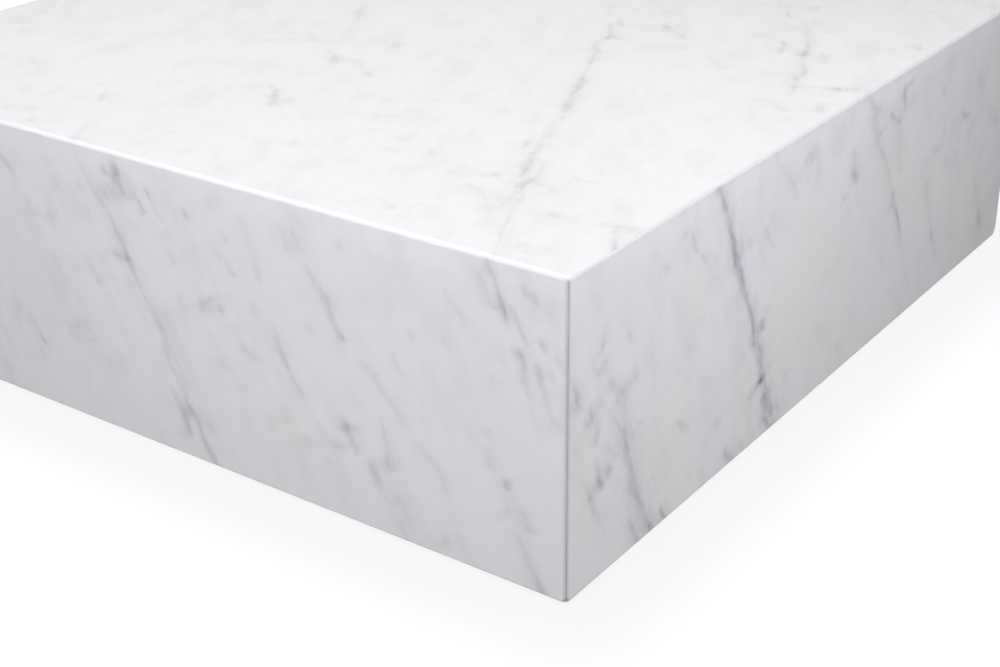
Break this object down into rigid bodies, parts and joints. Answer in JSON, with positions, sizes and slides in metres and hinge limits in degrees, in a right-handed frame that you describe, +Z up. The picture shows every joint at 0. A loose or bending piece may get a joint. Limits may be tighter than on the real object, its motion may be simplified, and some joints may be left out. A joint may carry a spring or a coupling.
{
  "type": "coffee table",
  "caption": "Low square plinth coffee table: a closed box of polished pale veined marble slabs with mitred edges, on hidden levelling glides.",
  "frame": {"origin": "on the floor under the middle of the table, at the glides' soles wound right in", "axes": "+Z up; +Y from the front slab to the back slab; +X from the left slab to the right slab"},
  "size_m": [0.9, 0.9, 0.28],
  "materials": {
    "marble": "polished, cool white with grey-violet veins",
    "marble_offcut": "sawn, unpolished",
    "mitre_resin": "tinted polyester resin, polished flush",
    "birch_ply": "raw birch plywood",
    "zinc_screw": "zinc plated",
    "panel_adhesive": "flexible construction adhesive",
    "zinc_insert": "zinc plated",
    "zinc_spindle": "zinc plated",
    "black_nylon": "moulded black nylon",
    "felt": "pressed wool felt"
  },
  "bodies": {
    "table": {"top_slab": "marble", "front_slab": "marble", "right_slab": "marble", "back_slab": "marble", "left_slab": "marble", "top_joint_resin": "mitre_resin", "corner_joint_resin_front_right": "mitre_resin", "corner_joint_resin_back_right": "mitre_resin", "corner_joint_resin_back_left": "mitre_resin", "corner_joint_resin_front_left": "mitre_resin", "corner_block_front_right": "marble_offcut", "corner_block_back_right": "marble_offcut", "corner_block_back_left": "marble_offcut", "corner_block_front_left": "marble_offcut", "top_board": "birch_ply", "base_board": "birch_ply", "front_rail": "birch_ply", "front_rib": "birch_ply", "right_rail": "birch_ply", "right_rib": "birch_ply", "back_rail": "birch_ply", "back_rib": "birch_ply", "left_rail": "birch_ply", "left_rib": "birch_ply", "base_board_screws": "zinc_screw", "top_board_screws": "zinc_screw", "insert_screws": "zinc_screw", "top_adhesive_dabs": "panel_adhesive", "front_adhesive_dabs": "panel_adhesive", "right_adhesive_dabs": "panel_adhesive", "back_adhesive_dabs": "panel_adhesive", "left_adhesive_dabs": "panel_adhesive", "glide_insert_front_right": "zinc_insert", "glide_insert_back_right": "zinc_insert", "glide_insert_back_left": "zinc_insert", "glide_insert_front_left": "zinc_insert"},
    "glide_front_right": {"glide_foot_front_right": "black_nylon", "glide_sole_front_right": "felt"},
    "spindle_front_right": {"glide_spindle_front_right": "zinc_spindle"},
    "glide_back_right": {"glide_foot_back_right": "black_nylon", "glide_sole_back_right": "felt"},
    "spindle_back_right": {"glide_spindle_back_right": "zinc_spindle"},
    "glide_back_left": {"glide_foot_back_left": "black_nylon", "glide_sole_back_left": "felt"},
    "spindle_back_left": {"glide_spindle_back_left": "zinc_spindle"},
    "glide_front_left": {"glide_foot_front_left": "black_nylon", "glide_sole_front_left": "felt"},
    "spindle_front_left": {"glide_spindle_front_left": "zinc_spindle"}
  },
  "joints": [
    {"name": "height_front_right", "type": "slide", "parent": "table", "child": "glide_front_right", "axis": [0, 0, -1], "range_m": [0, 0.012]},
    {"name": "turn_front_right", "type": "hinge", "parent": "glide_front_right", "child": "spindle_front_right", "pos_m": [0.36, -0.36, 0.012], "axis": [0, 0, -1], "range_deg": [0, 2880]},
    {"name": "height_back_right", "type": "slide", "parent": "table", "child": "glide_back_right", "axis": [0, 0, -1], "range_m": [0, 0.012]},
    {"name": "turn_back_right", "type": "hinge", "parent": "glide_back_right", "child": "spindle_back_right", "pos_m": [0.36, 0.36, 0.012], "axis": [0, 0, -1], "range_deg": [0, 2880]},
    {"name": "height_back_left", "type": "slide", "parent": "table", "child": "glide_back_left", "axis": [0, 0, -1], "range_m": [0, 0.012]},
    {"name": "turn_back_left", "type": "hinge", "parent": "glide_back_left", "child": "spindle_back_left", "pos_m": [-0.36, 0.36, 0.012], "axis": [0, 0, -1], "range_deg": [0, 2880]},
    {"name": "height_front_left", "type": "slide", "parent": "table", "child": "glide_front_left", "axis": [0, 0, -1], "range_m": [0, 0.012]},
    {"name": "turn_front_left", "type": "hinge", "parent": "glide_front_left", "child": "spindle_front_left", "pos_m": [-0.36, -0.36, 0.012], "axis": [0, 0, -1], "range_deg": [0, 2880]}
  ],
  "couplings": [
    {"joint": "turn_front_right", "follows": "height_front_right", "rad_per_m": 4188.8},
    {"joint": "turn_back_right", "follows": "height_back_right", "rad_per_m": 4188.8},
    {"joint": "turn_back_left", "follows": "height_back_left", "rad_per_m": 4188.8},
    {"joint": "turn_front_left", "follows": "height_front_left", "rad_per_m": 4188.8}
  ]
}
